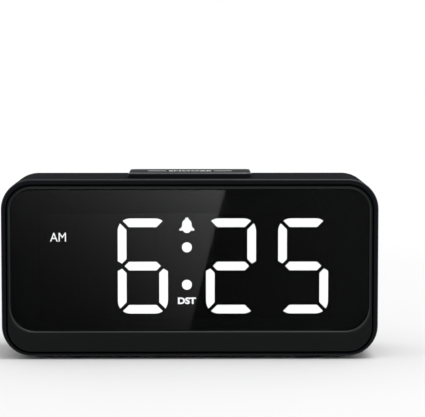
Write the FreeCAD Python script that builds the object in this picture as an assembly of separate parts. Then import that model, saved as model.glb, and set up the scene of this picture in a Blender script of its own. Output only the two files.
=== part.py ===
"""Compact LED alarm clock: sleeve housing, tinted screen, mitred seven-segment display, sprung snooze bar
and a back panel with its buttons, each piece a solid of its own. Millimetres.

X runs across the face, Y from front to back and Z up. The origin is under the middle of the whole clock,
on the surface that its feet stand on.
"""

import FreeCAD, Part
import collections
import math
import os

from FreeCAD import Vector

# Case
case_width = 90.0
case_height = 42.4
case_depth = 26.5  # from the sleeve's front rim to the back face
case_corner_radius = 7.2
wall = 1.8
rim_edge_fillet = 0.35
back_edge_fillet = 2.0

# Screen frame, which stands in a pocket of the sleeve's front rim
frame_proud = 0.4
frame_inset_side = 1.5  # from the outside of the case to the outside of the frame
frame_inset_top = 1.65
frame_inset_bottom = 1.1
frame_groove = 0.45
frame_seat_depth = 2.4
frame_edge_fillet = 0.2
frame_side_margin = 0.9  # from the outside of the frame to the screen
frame_top_margin = 0.8
frame_chin = 5.15
frame_skirt_depth = 1.2
frame_skirt_wall = 1.2
frame_skirt_clearance = 0.15

# Screen
screen_radius_top = 4.8
screen_radius_bottom = 5.7
screen_recess = 0.35
screen_thickness = 1.6
screen_clearance = 0.2
screen_lip_fillet = 0.3
screen_edge_chamfer = 0.1

# Display module
display_shift = -0.72  # the colon's place across the face
display_drop = 1.67  # from the middle of the screen down to the middle of the digits
digit_width = 11.95
digit_height = 22.86
digit_corner_radius = 3.0
digit_spacing = 17.3
colon_offset = 10.57  # from the colon to the middle of the digits beside it
segment_width = 2.04
segment_gap = 0.92
segment_end_gap = 1.26  # between the points in which the upright bars end at the middle
segment_end_slope = 30
mitre_lap = 0.1  # how far a mitre beside the middle bar goes past the middle of the stroke
colon_dot_radius = 1.18
colon_dot_offset = 4.51
light_pipe_fit = 0.05
light_pipe_length = 5.2
reflector_thickness = 6.2
reflector_margin = 0.85
reflector_gap = 0.2  # behind the screen
reflector_clearance = 0.4
indicator_radius = 0.4
alarm_sign_offset = 9.85
alarm_sign_size = 4.5
dst_sign_offset = -8.35
dst_sign_width = 5.6
dst_sign_height = 2.8
am_sign_offset_x = -30.77
am_sign_offset_z = 7.05
am_sign_width = 5.4
am_sign_height = 3.4
led_width = 1.6
led_depth = 0.8
board_thickness = 1.6
display_board_overhang = 2.2  # past the middle of a boss, to the side
display_boss_radius = 1.9
display_boss_reach = 2.1  # from the edge of the reflector to the middle of a boss, up or down
display_boss_inset = 7.0  # from the side of the case

# Screws
screw_shank_radius = 0.95
screw_head_radius = 1.9
screw_head_height = 1.3
screw_head_chamfer = 0.35
screw_clearance = 0.05
screw_drive_radius = 0.75
screw_drive_depth = 0.7
hexagon_sides = 6
display_screw_length = 6.5
board_screw_length = 6.0
cover_screw_length = 10.0
cover_screw_head_radius = 2.3
cover_screw_recess = 0.6

# Snooze bar
snooze_width = 29.6
snooze_front_margin = 4.2
snooze_back_margin = 3.0
snooze_proud = 1.3
snooze_corner_radius = 1.6
snooze_edge_fillet = 0.35
snooze_wall = 1.3
snooze_clearance = 0.2
snooze_travel = 0.8
snooze_flange_reach = 1.2
snooze_flange_thickness = 1.0
snooze_flange_gap = 0.2
snooze_stem_width = 3.0
snooze_rib_thickness = 1.0
snooze_rib_spacing = 8.0

# Main board
board_gap = 5.4  # between the display board and the main board
board_edge_clearance = 0.6
board_rise = 3.7  # from the bottom of the case to the bottom of the board
board_top_clearance = 0.8  # under the snooze bar when it is pressed
snooze_switch_width = 6.2
snooze_switch_depth = 3.4
snooze_switch_height = 4.5
plunger_clearance = 0.05
snooze_plunger_radius = 1.2
snooze_plunger_proud = 1.2
snooze_plunger_sunk = 2.0

# Back cover
cover_depth = 4.5
cover_seam = 0.2
tongue_reach = 1.5
tongue_wall = 1.0
tongue_clearance = 0.1
post_radius = 2.6
post_inset = 5.8  # from the outside of the case to the middle of a corner post, both ways
post_clearance = 1.1  # behind the heads of the display board's screws
post_web = 1.6
board_post_radius = 2.2
board_post_gap = 3.5  # from a switch or the door to a board post beside it

# Back buttons
button_names = ("time", "alarm", "hour", "minute", "dst")
button_radius = 2.5
button_proud = 0.8
button_travel = 0.6
button_clearance = 0.15
button_edge_chamfer = 0.35
button_flange_radius = 3.2
button_flange_thickness = 0.8
button_flange_gap = 0.2
button_stem_radius = 1.4
button_spacing = 8.0
button_row_offset = 17.5  # from the middle of the case to the middle of the row
button_row_inset_top = 11.7
tact_switch_size = 6.0
tact_switch_height = 3.5
tact_plunger_radius = 1.75
tact_plunger_proud = 1.0
tact_plunger_sunk = 1.6

# Alarm slide switch
slider_width = 3.0
slider_height = 2.6
slider_proud = 0.6
slider_travel = 2.0
slider_clearance = 0.15
slider_rise = 20.6
slider_flange_reach = 1.2
slider_flange_thickness = 0.8
slider_flange_gap = 0.2
slider_stem_width = 1.6
slider_stem_height = 1.2
slider_stem_sunk = 1.2
slider_rib_count = 3
slider_rib_depth = 0.3
slide_switch_width = 8.6
slide_switch_height = 4.4
slide_switch_depth = 4.4

# Power inlet
inlet_post_gap = 3.1  # from the inlet to the corner post beside it
inlet_rise = 8.7
inlet_size = 9.0
inlet_nose_radius = 3.9
inlet_nose_sunk = 0.5
inlet_bore_radius = 3.1
inlet_floor = 1.9
inlet_pin_radius = 1.0
inlet_pin_sunk = 1.2
inlet_pin_chamfer = 0.3
inlet_clearance = 0.1
inlet_shoulder_gap = 0.8

# Buzzer and sound holes
buzzer_radius = 6.0
buzzer_inlet_gap = 8.5
buzzer_rise = 13.2
buzzer_gap = 1.6
buzzer_port_radius = 1.2
buzzer_port_depth = 1.5
sound_hole_radius = 0.7
sound_ring_radius = 2.6
sound_ring_count = 6

# Back-up cell and its door
cell_radius = 10.0
cell_thickness = 3.2
cell_step_depth = 0.4
cell_step_width = 0.8
cell_offset = -24.0
cell_clearance = 0.15
holder_wall = 1.4
holder_floor = 1.0
holder_height = 4.8
holder_notch_width = 5.0
contact_thickness = 0.2
contact_width = 4.0
contact_overlap = 1.6
door_opening = 22.4
door_opening_radius = 3.0
door_width = 30.0
door_height = 25.4
door_radius = 3.0
door_thickness = 1.2
door_shelf = 1.2  # of the cover, under the door's edge
door_ledge = 2.0
door_clearance = 0.15
door_rib_depth = 1.0
door_rib_wall = 1.0
door_grip_count = 4
door_grip_width = 0.7
door_grip_spacing = 1.5
door_grip_depth = 0.35
door_grip_height = 9.0
door_screw_inset = 2.8
door_screw_length = 4.4
door_screw_floor = 0.25  # left under the screw's head, so that the head stands a little proud
door_skirt_wall = 1.2
door_skirt_depth = 2.4

# Header between the boards
header_pin_count = 10
header_pin_spacing = 2.54
header_pin_width = 0.64
header_pin_clearance = 0.08
header_base_height = 2.0
header_depth = 2.5
header_pin_reach = 3.0
header_rise = 12.0

# Parts soldered to the front of the main board
chip_width = 9.0
chip_height = 6.0
chip_depth = 1.6
chip_offset = -16.0
chip_rise = 19.2
crystal_radius = 1.5
crystal_length = 8.0
crystal_offset = -27.0
crystal_rise = 21.2
capacitor_radius = 2.5
capacitor_length = 5.0
capacitor_offset = 25.0
capacitor_rise = 14.2
resistor_width = 2.0
resistor_height = 1.2
resistor_depth = 0.5
resistor_count = 6
resistor_spacing = 2.6
resistor_offset = 10.5
resistor_rise = 26.2

# Feet
foot_radius = 3.0
foot_proud = 0.8
foot_recess = 0.8
foot_clearance = 0.1
foot_edge_chamfer = 0.3
foot_spread = 27.6  # from the middle of the case
foot_inset_front = 5.0
foot_inset_back = 5.0

Area = collections.namedtuple("Area", "left right bottom top")
same_place = 1e-6  # edges nearer than this are at one depth or height

# Places along the depth
rim_y = frame_proud - (frame_proud + case_depth + button_proud) / 2
back_y = rim_y + case_depth
cover_inner_y = back_y - wall
joint_y = back_y - cover_depth  # where the sleeve ends and the back cover starts
frame_front_y = rim_y - frame_proud
frame_seat_y = rim_y + frame_seat_depth
screen_front_y = frame_front_y + screen_recess
screen_back_y = screen_front_y + screen_thickness
reflector_front_y = screen_back_y + reflector_gap
display_board_y = reflector_front_y + reflector_thickness
display_board_back_y = display_board_y + board_thickness
board_y = display_board_back_y + board_gap
board_back_y = board_y + board_thickness
tongue_front_y = joint_y - tongue_reach
post_back_y = tongue_front_y - cover_seam
post_front_y = display_board_back_y + screw_head_height + post_clearance

# Outlines across the face
case_bottom = foot_proud
case_top = case_bottom + case_height
case_area = Area(-case_width / 2, case_width / 2, case_bottom, case_top)
frame_area = Area(
    case_area.left + frame_inset_side,
    case_area.right - frame_inset_side,
    case_area.bottom + frame_inset_bottom,
    case_area.top - frame_inset_top,
)
screen_area = Area(
    frame_area.left + frame_side_margin,
    frame_area.right - frame_side_margin,
    frame_area.bottom + frame_chin,
    frame_area.top - frame_top_margin,
)
frame_corner_radius = case_corner_radius - frame_inset_side
inner_corner_radius = case_corner_radius - wall
display_x = display_shift
display_z = (screen_area.bottom + screen_area.top) / 2 - display_drop


def grow(area, by):
    """The area with each side moved out by a distance, or in where it is negative."""
    return Area(area.left - by, area.right + by, area.bottom - by, area.top + by)


def centred(x, z, width, height):
    """The area of a width and height about a point."""
    return Area(x - width / 2, x + width / 2, z - height / 2, z + height / 2)


def panel(area, y_low, y_high, radius_top, radius_bottom=None):
    """Upright plate over an area of the face, with round corners, from one depth to another."""
    if radius_bottom is None:
        radius_bottom = radius_top
    centres = (
        (area.left + radius_bottom, area.bottom + radius_bottom, radius_bottom),
        (area.right - radius_bottom, area.bottom + radius_bottom, radius_bottom),
        (area.right - radius_top, area.top - radius_top, radius_top),
        (area.left + radius_top, area.top - radius_top, radius_top),
    )
    arcs = []
    for quarter, (centre_x, centre_z, radius) in enumerate(centres):
        points = []
        for step in range(3):
            angle = math.pi + quarter * math.pi / 2 + step * math.pi / 4
            x = centre_x + radius * math.cos(angle)
            z = centre_z + radius * math.sin(angle)
            points.append(Vector(x, y_low, z))
        arcs.append(points)
    edges = []
    for index, points in enumerate(arcs):
        edges.append(Part.Arc(*points).toShape())
        edges.append(Part.makeLine(points[2], arcs[(index + 1) % len(arcs)][0]))
    face = Part.Face(Part.Wire(edges))
    return face.extrude(Vector(0, y_high - y_low, 0))


def block(x_low, x_high, y_low, y_high, z_low, z_high):
    """Square-cornered box between two corners."""
    return Part.makeBox(x_high - x_low, y_high - y_low, z_high - z_low, Vector(x_low, y_low, z_low))


def plate(area, y_low, y_high):
    """Square-cornered upright plate over an area of the face."""
    return block(area.left, area.right, y_low, y_high, area.bottom, area.top)


def rod(x, z, radius, y_low, y_high):
    """Round bar that runs from front to back."""
    return Part.makeCylinder(radius, y_high - y_low, Vector(x, y_low, z), Vector(0, 1, 0))


def upright(x, y, radius, z_low, z_high):
    """Round bar that stands up."""
    return Part.makeCylinder(radius, z_high - z_low, Vector(x, y, z_low))


def edges_at_depth(shape, y):
    """Edges that lie wholly at one depth."""
    boxes = [(edge, edge.BoundBox) for edge in shape.Edges]
    return [edge for edge, box in boxes if max(abs(box.YMin - y), abs(box.YMax - y)) < same_place]


def edges_at_height(shape, z):
    """Edges that lie wholly at one height."""
    boxes = [(edge, edge.BoundBox) for edge in shape.Edges]
    return [edge for edge, box in boxes if max(abs(box.ZMin - z), abs(box.ZMax - z)) < same_place]


def round_upright_edges(shape, radius):
    """Round a box's four standing edges."""
    chosen = []
    for edge in shape.Edges:
        if edge.BoundBox.ZLength > max(edge.BoundBox.XLength, edge.BoundBox.YLength) + same_place:
            chosen.append(edge)
    return shape.makeFillet(radius, chosen)


def fused(shapes):
    """All the shapes joined into one solid with clean faces."""
    return shapes[0].multiFuse(shapes[1:]).removeSplitter()


def cut(shape, tools):
    """The shape with every tool taken out of it."""
    return shape.cut(Part.Compound(tools)) if tools else shape


def screw(x, z, y_head, y_tip, head_radius):
    """Pan-head screw whose head's underside lies at y_head and whose tip lies at y_tip."""
    forward = 1 if y_tip > y_head else -1
    y_top = y_head - forward * screw_head_height
    head = rod(x, z, head_radius, min(y_head, y_top), max(y_head, y_top))
    head = head.makeChamfer(screw_head_chamfer, edges_at_depth(head, y_top))
    shank = rod(x, z, screw_shank_radius, min(y_head, y_tip), max(y_head, y_tip))
    y_drive = y_top + forward * screw_drive_depth
    corners = []
    for index in range(hexagon_sides + 1):
        angle = 2 * math.pi * index / hexagon_sides
        corner_x = x + screw_drive_radius * math.cos(angle)
        corner_z = z + screw_drive_radius * math.sin(angle)
        corners.append(Vector(corner_x, y_top, corner_z))
    drive = Part.Face(Part.makePolygon(corners)).extrude(Vector(0, y_drive - y_top, 0))
    return fused([head, shank]).cut(drive)


# Sleeve housing

post_x = case_width / 2 - post_inset
post_heights = (case_bottom + post_inset, case_top - post_inset)
corner_posts = [(side * post_x, z) for side in (-1, 1) for z in post_heights]
snooze_front_y = rim_y + snooze_front_margin
snooze_back_y = joint_y - snooze_back_margin
foot_depths = (rim_y + foot_inset_front, joint_y - foot_inset_back)
foot_places = [(side * foot_spread, y) for side in (-1, 1) for y in foot_depths]


def make_housing():
    """Sleeve that is open at the front and back, with the snooze opening in its top."""
    shell = panel(case_area, rim_y, joint_y, case_corner_radius)
    shell = shell.makeFillet(rim_edge_fillet, edges_at_depth(shell, rim_y))
    cavity = panel(grow(case_area, -wall), rim_y - wall, joint_y + wall, inner_corner_radius)
    pocket_radius = frame_corner_radius + frame_groove
    pocket = panel(grow(frame_area, frame_groove), rim_y - wall, frame_seat_y, pocket_radius)
    opening = block(
        -snooze_width / 2 - snooze_clearance,
        snooze_width / 2 + snooze_clearance,
        snooze_front_y - snooze_clearance,
        snooze_back_y + snooze_clearance,
        case_top - 2 * wall,
        case_top + wall,
    )
    opening = round_upright_edges(opening, snooze_corner_radius + snooze_clearance)
    recesses = []
    for x, y in foot_places:
        recess_radius = foot_radius + foot_clearance
        recesses.append(upright(x, y, recess_radius, case_bottom - wall, case_bottom + foot_recess))
    shell = cut(shell, [cavity, pocket, opening] + recesses)
    posts = []
    holes = []
    for x, z in corner_posts:
        outward = math.copysign(1, x)
        wall_x = outward * (case_width / 2 - wall / 2)
        posts.append(rod(x, z, post_radius, post_front_y, post_back_y))
        web_area = Area(min(x, wall_x), max(x, wall_x), z - post_web / 2, z + post_web / 2)
        posts.append(plate(web_area, post_front_y, post_back_y))
        holes.append(rod(x, z, screw_shank_radius + screw_clearance, post_front_y, post_back_y))
    return cut(fused([shell] + posts), holes)


def make_feet():
    """Round rubber feet, let into the underside."""
    feet = []
    for x, y in foot_places:
        foot = upright(x, y, foot_radius, 0, foot_proud + foot_recess)
        feet.append(foot.makeChamfer(foot_edge_chamfer, edges_at_height(foot, 0)))
    return Part.Compound(feet)


# Screen frame and screen

reflector_area = Area(
    display_x - colon_offset - digit_spacing - digit_width / 2 - reflector_margin,
    display_x + colon_offset + digit_spacing + digit_width / 2 + reflector_margin,
    display_z - digit_height / 2 - reflector_margin,
    display_z + digit_height / 2 + reflector_margin,
)
display_boss_heights = (reflector_area.bottom - display_boss_reach, reflector_area.top + display_boss_reach)
display_boss_x = case_width / 2 - display_boss_inset
display_bosses = [(side * display_boss_x, z) for side in (-1, 1) for z in display_boss_heights]


def make_front_frame():
    """Frame with a deep chin, a rebate that the screen drops into and bosses for the display board."""
    body = panel(frame_area, frame_front_y, frame_seat_y, frame_corner_radius)
    body = body.makeFillet(frame_edge_fillet, edges_at_depth(body, frame_front_y))
    skirt_area = grow(case_area, -wall - frame_skirt_clearance)
    skirt_radius = inner_corner_radius - frame_skirt_clearance
    skirt = panel(skirt_area, frame_seat_y, frame_seat_y + frame_skirt_depth, skirt_radius)
    skirt_hollow_radius = skirt_radius - frame_skirt_wall
    skirt_hollow = panel(grow(skirt_area, -frame_skirt_wall), frame_seat_y,
                         frame_seat_y + frame_skirt_depth, skirt_hollow_radius)
    bosses = [rod(x, z, display_boss_radius, screen_back_y, display_board_y) for x, z in display_bosses]
    body = fused([body, skirt.cut(skirt_hollow)] + bosses)
    rebate_area = grow(screen_area, screen_clearance)
    rebate = panel(rebate_area, frame_front_y - wall, screen_back_y,
                   screen_radius_top + screen_clearance, screen_radius_bottom + screen_clearance)
    window = plate(grow(reflector_area, reflector_clearance), frame_front_y, display_board_y)
    holes = []
    for x, z in display_bosses:
        hole_y = display_board_y - display_screw_length + board_thickness
        holes.append(rod(x, z, screw_shank_radius + screw_clearance, hole_y, display_board_y))
    body = cut(body, [rebate, window] + holes)
    lip = []
    for edge in edges_at_depth(body, frame_front_y):
        middle = edge.BoundBox.Center
        past_side = abs(middle.x) - rebate_area.right
        past_end = max(middle.z - rebate_area.top, rebate_area.bottom - middle.z)
        if max(past_side, past_end) < screen_clearance:
            lip.append(edge)
    return body.makeFillet(screen_lip_fillet, lip)


def make_display_lens():
    """Tinted screen plate."""
    lens = panel(screen_area, screen_front_y, screen_back_y, screen_radius_top, screen_radius_bottom)
    return lens.makeChamfer(screen_edge_chamfer, edges_at_depth(lens, screen_front_y))


# Display module

digit_places = {
    "hour_tens": display_x - colon_offset - digit_spacing,
    "hour": display_x - colon_offset,
    "minute_tens": display_x + colon_offset,
    "minute": display_x + colon_offset + digit_spacing,
}
fitted_segments = {"hour_tens": "bc", "hour": "abcdefg", "minute_tens": "abcdefg", "minute": "abcdefg"}
lit_segments = {"hour_tens": "", "hour": "acdefg", "minute_tens": "abdeg", "minute": "acdfg"}
unlit_segments = {"hour_tens": "bc", "hour": "b", "minute_tens": "cf", "minute": "be"}
pipe_span = (0.0, reflector_front_y, reflector_front_y + light_pipe_length)


def mitre(x, z, angle, length, thickness, y_low, y_high):
    """Thin slab that parts two bars of a digit, centred on a point and turned about the depth axis."""
    slab = block(-length / 2, length / 2, y_low, y_high, -thickness / 2, thickness / 2)
    slab.rotate(Vector(0, 0, 0), Vector(0, 1, 0), -angle)
    slab.translate(Vector(x, 0, z))
    return slab


def notch(x, reach, height, y_low, y_high):
    """Wedge at the middle height of a digit, which widens from a height at x over a reach to one side."""
    rise = abs(reach) * math.tan(math.radians(segment_end_slope))
    corners = (
        Vector(x, y_low, display_z - height / 2),
        Vector(x, y_low, display_z + height / 2),
        Vector(x + reach, y_low, display_z + height / 2 + rise),
        Vector(x + reach, y_low, display_z - height / 2 - rise),
    )
    outline = Part.makePolygon(corners + corners[:1])
    return Part.Face(outline).extrude(Vector(0, y_high - y_low, 0))


def digit_bars(centre_x, fit, y_low, y_high):
    """The seven bars of a digit by their usual letters, a to g, each grown by a fit on every side."""
    half_width = digit_width / 2
    half_height = digit_height / 2
    figure = panel(centred(centre_x, display_z, digit_width + 2 * fit, digit_height + 2 * fit),
                   y_low, y_high, digit_corner_radius + fit)
    gap = segment_gap - 2 * fit
    end_gap = segment_end_gap - 2 * fit / math.cos(math.radians(segment_end_slope))
    mitre_reach = segment_width / math.sqrt(2) + segment_gap
    joint_run = (mitre_reach - mitre_lap) / 2 / math.sqrt(2)
    tools = []
    for up in (-1, 1):
        low = display_z + up * (segment_width / 2 + fit)
        high = display_z + up * (half_height - segment_width - fit)
        inner = half_width - segment_width - fit
        tools.append(block(centre_x - inner, centre_x + inner, y_low, y_high, min(low, high), max(low, high)))
        for across in (-1, 1):
            corner_x = centre_x + across * (half_width - segment_width / 2)
            corner_z = display_z + up * (half_height - segment_width / 2)
            slope = 45 * up * across
            tools.append(mitre(corner_x, corner_z, slope, 2 * mitre_reach, gap, y_low, y_high))
            joint_x = corner_x - across * joint_run
            joint_z = display_z + up * joint_run
            tools.append(mitre(joint_x, joint_z, -slope, mitre_reach + mitre_lap, gap, y_low, y_high))
    for across in (-1, 1):
        points_x = centre_x + across * (half_width - segment_width / 2)
        tools.append(notch(points_x, across * segment_width, end_gap, y_low, y_high))
    bars = {}
    for solid in figure.cut(Part.Compound(tools)).Solids:
        place = solid.CenterOfMass
        side = "left" if place.x < centre_x - segment_width else "right"
        side = "middle" if abs(place.x - centre_x) < segment_width else side
        level = "upper" if place.z > display_z + segment_width / 2 else "lower"
        level = "centre" if abs(place.z - display_z) < segment_width / 2 else level
        letter = {
            ("middle", "upper"): "a",
            ("right", "upper"): "b",
            ("right", "lower"): "c",
            ("middle", "lower"): "d",
            ("left", "lower"): "e",
            ("left", "upper"): "f",
            ("middle", "centre"): "g",
        }[(side, level)]
        bars[letter] = solid
    return bars


def segments(choice, fit, y_low, y_high):
    """The chosen bars of every digit."""
    chosen = []
    for digit, centre_x in digit_places.items():
        bars = digit_bars(centre_x, fit, y_low, y_high)
        for letter in choice[digit]:
            chosen.append(bars[letter])
    return chosen


def colon_dots(fit, y_low, y_high):
    """The two round dots between the hour and the minutes."""
    dots = []
    for up in (-1, 1):
        dots.append(rod(display_x, display_z + up * colon_dot_offset, colon_dot_radius + fit, y_low, y_high))
    return dots


def indicators(fit, y_low, y_high):
    """Small windows that light the alarm, AM and daylight-saving signs."""
    areas = (
        centred(display_x, display_z + alarm_sign_offset, alarm_sign_size, alarm_sign_size),
        centred(display_x, display_z + dst_sign_offset, dst_sign_width, dst_sign_height),
        centred(display_x + am_sign_offset_x, display_z + am_sign_offset_z, am_sign_width, am_sign_height),
    )
    return [panel(grow(area, fit), y_low, y_high, indicator_radius + fit) for area in areas]


def make_reflector():
    """Black block with a well for each light pipe."""
    body = plate(reflector_area, reflector_front_y, display_board_y)
    span = (light_pipe_fit, reflector_front_y, display_board_y)
    wells = segments(fitted_segments, *span) + colon_dots(*span) + indicators(*span)
    return cut(body, wells)


def make_leds():
    """Surface-mounted lamps on the display board, one behind the middle of each light pipe."""
    lamps = []
    for pipe in segments(fitted_segments, *pipe_span) + colon_dots(*pipe_span) + indicators(*pipe_span):
        place = pipe.CenterOfMass
        area = centred(place.x, place.z, led_width, led_width)
        lamps.append(plate(area, display_board_y - led_depth, display_board_y))
    return Part.Compound(lamps)


display_board_area = Area(
    -display_boss_x - display_board_overhang,
    display_boss_x + display_board_overhang,
    display_boss_heights[0] - display_boss_radius,
    display_boss_heights[1] + display_boss_radius,
)


def make_display_board():
    """Board that the display module is soldered to."""
    board = plate(display_board_area, display_board_y, display_board_back_y)
    hole = screw_shank_radius + screw_clearance
    return cut(board, [rod(x, z, hole, display_board_y, display_board_back_y) for x, z in display_bosses])


def make_display_screws():
    """Screws that hold the display board to the frame's bosses."""
    screws = []
    for x, z in display_bosses:
        tip = display_board_back_y - display_screw_length
        screws.append(screw(x, z, display_board_back_y, tip, screw_head_radius))
    return Part.Compound(screws)


# Main board and what is soldered to it

board_area = Area(
    -post_x + post_radius + board_edge_clearance,
    post_x - post_radius - board_edge_clearance,
    case_bottom + board_rise,
    case_top - wall - snooze_flange_gap - snooze_flange_thickness - snooze_travel - board_top_clearance,
)
button_z = case_top - button_row_inset_top
button_places = {}
for index, name in enumerate(button_names):
    button_places[name] = button_row_offset + (index - (len(button_names) - 1) / 2) * button_spacing
inlet_x = post_x - post_radius - inlet_post_gap - inlet_size / 2
inlet_z = case_bottom + inlet_rise
slider_x = inlet_x
slider_z = case_bottom + slider_rise
buzzer_x = inlet_x - inlet_size / 2 - buzzer_inlet_gap - buzzer_radius
buzzer_z = case_bottom + buzzer_rise
cell_x = cell_offset
cell_z = (case_bottom + case_top) / 2
door_left = cell_x - door_opening / 2 - door_ledge
door_area = Area(door_left, door_left + door_width, cell_z - door_height / 2, cell_z + door_height / 2)
board_post_low = board_area.bottom + board_post_radius
board_posts = [
    (min(button_places.values()) - tact_switch_size / 2 - board_post_gap - board_post_radius,
     board_area.top - board_post_radius),
    (door_area.right + board_post_gap, board_post_low),
    ((inlet_x - inlet_size / 2 + buzzer_x + buzzer_radius) / 2, board_post_low),
    (board_area.left + board_post_radius, board_post_low),
]
snooze_stem_y = board_y - snooze_switch_depth / 2
snooze_rest_z = case_top - wall - snooze_flange_gap
snooze_switch_top = board_area.top
plunger_top = snooze_switch_top + snooze_plunger_proud


def make_main_board():
    """Main circuit board, screwed to posts of the back cover."""
    board = plate(board_area, board_y, board_back_y)
    hole = screw_shank_radius + screw_clearance
    return cut(board, [rod(x, z, hole, board_y, board_back_y) for x, z in board_posts])


def make_board_screws():
    """Screws through the main board into the back cover's posts."""
    screws = [screw(x, z, board_y, board_y + board_screw_length, screw_head_radius) for x, z in board_posts]
    return Part.Compound(screws)


def make_snooze_switch():
    """Push switch on the front of the main board, with a bore for its plunger."""
    body = block(
        -snooze_switch_width / 2,
        snooze_switch_width / 2,
        board_y - snooze_switch_depth,
        board_y,
        snooze_switch_top - snooze_switch_height,
        snooze_switch_top,
    )
    bore_low = snooze_switch_top - snooze_plunger_sunk - snooze_travel - plunger_clearance
    bore_radius = snooze_plunger_radius + plunger_clearance
    return body.cut(upright(0, snooze_stem_y, bore_radius, bore_low, snooze_switch_top))


def make_snooze_plunger():
    """Plunger of the snooze switch, which the bar's stem rests on."""
    plunger_low = snooze_switch_top - snooze_plunger_sunk
    return upright(0, snooze_stem_y, snooze_plunger_radius, plunger_low, plunger_top)


def make_button_switches():
    """Push switches behind the back buttons, each with a bore for its plunger."""
    bodies = []
    face_y = board_back_y + tact_switch_height
    bore_y = face_y - tact_plunger_sunk - button_travel - plunger_clearance
    for x in button_places.values():
        body = plate(centred(x, button_z, tact_switch_size, tact_switch_size), board_back_y, face_y)
        bodies.append(body.cut(rod(x, button_z, tact_plunger_radius + plunger_clearance, bore_y, face_y)))
    return Part.Compound(bodies)


def make_button_plunger(x):
    """Plunger of one back button's switch."""
    face_y = board_back_y + tact_switch_height
    return rod(x, button_z, tact_plunger_radius, face_y - tact_plunger_sunk, face_y + tact_plunger_proud)


def make_clock_chip():
    """Clock circuit in a small-outline case."""
    x = chip_offset
    z = case_bottom + chip_rise
    return plate(centred(x, z, chip_width, chip_height), board_y - chip_depth, board_y)


def make_crystal():
    """Timing crystal, a metal can that lies on the board."""
    x = crystal_offset
    z = case_bottom + crystal_rise
    axis_y = board_y - crystal_radius
    return upright(x, axis_y, crystal_radius, z - crystal_length / 2, z + crystal_length / 2)


def make_capacitor():
    """Electrolytic capacitor that lies on the board."""
    x = capacitor_offset
    z = case_bottom + capacitor_rise
    axis_y = board_y - capacitor_radius
    return upright(x, axis_y, capacitor_radius, z - capacitor_length / 2, z + capacitor_length / 2)


def make_resistors():
    """Row of chip resistors that feed the display."""
    chips = []
    for index in range(resistor_count):
        x = resistor_offset + (index - (resistor_count - 1) / 2) * resistor_spacing
        area = centred(x, case_bottom + resistor_rise, resistor_height, resistor_width)
        chips.append(plate(area, board_y - resistor_depth, board_y))
    return Part.Compound(chips)


header_x = [(index - (header_pin_count - 1) / 2) * header_pin_spacing for index in range(header_pin_count)]
header_z = case_bottom + header_rise
header_half = header_pin_count * header_pin_spacing / 2
header_split_y = display_board_back_y + header_base_height


def make_pin_header():
    """Row of pins on the display board."""
    base = block(-header_half, header_half, display_board_back_y, header_split_y,
                 header_z - header_depth / 2, header_z + header_depth / 2)
    pins = []
    for x in header_x:
        area = centred(x, header_z, header_pin_width, header_pin_width)
        pins.append(plate(area, header_split_y, header_split_y + header_pin_reach))
    return fused([base] + pins)


def make_header_socket():
    """Socket on the main board that the pins plug into."""
    body = block(-header_half, header_half, header_split_y, board_y,
                 header_z - header_depth / 2, header_z + header_depth / 2)
    holes = []
    width = header_pin_width + 2 * header_pin_clearance
    for x in header_x:
        area = centred(x, header_z, width, width)
        holes.append(plate(area, header_split_y, header_split_y + header_pin_reach + header_pin_clearance))
    return cut(body, holes)


# Snooze bar

def make_snooze_bar():
    """Hollow bar with end flanges that keep it in the opening, cross ribs and a stem over the switch."""
    half = snooze_width / 2
    top = case_top + snooze_proud
    low = snooze_rest_z - snooze_flange_thickness
    body = block(-half, half, snooze_front_y, snooze_back_y, low, top)
    body = round_upright_edges(body, snooze_corner_radius)
    body = body.makeFillet(snooze_edge_fillet, edges_at_height(body, top))
    hollow = block(-half + snooze_wall, half - snooze_wall, snooze_front_y + snooze_wall,
                   snooze_back_y - snooze_wall, low - wall, top - snooze_wall)
    body = body.cut(hollow)
    extras = []
    for side in (-1, 1):
        edge_x = side * (half - snooze_wall)
        end_x = side * (half + snooze_clearance + snooze_flange_reach)
        extras.append(block(min(edge_x, end_x), max(edge_x, end_x), snooze_front_y + snooze_corner_radius,
                            snooze_back_y - snooze_corner_radius, low, snooze_rest_z))
        rib_x = side * snooze_rib_spacing
        extras.append(block(rib_x - snooze_rib_thickness / 2, rib_x + snooze_rib_thickness / 2,
                            snooze_front_y + snooze_wall, snooze_back_y - snooze_wall,
                            snooze_rest_z, top - snooze_wall))
    stem_arm = (snooze_stem_width, snooze_rib_thickness)
    for width, depth in (stem_arm, stem_arm[::-1]):
        extras.append(block(-width / 2, width / 2, snooze_stem_y - depth / 2, snooze_stem_y + depth / 2,
                            plunger_top, top - snooze_wall))
    return fused([body] + extras)


# Back cover

door_seat_y = back_y - door_thickness
opening_area = centred(cell_x, cell_z, door_opening, door_opening)
door_screw_x = door_area.right - door_screw_inset
door_screw_seat_y = door_seat_y + door_screw_floor
door_boss_y = door_seat_y - door_screw_length
cover_screw_head_y = back_y - cover_screw_recess - screw_head_height


def sound_hole_places():
    """One hole in the middle and a ring of holes about it."""
    places = [(buzzer_x, buzzer_z)]
    for index in range(sound_ring_count):
        angle = 2 * math.pi * index / sound_ring_count
        x = buzzer_x + sound_ring_radius * math.cos(angle)
        z = buzzer_z + sound_ring_radius * math.sin(angle)
        places.append((x, z))
    return places


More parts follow.
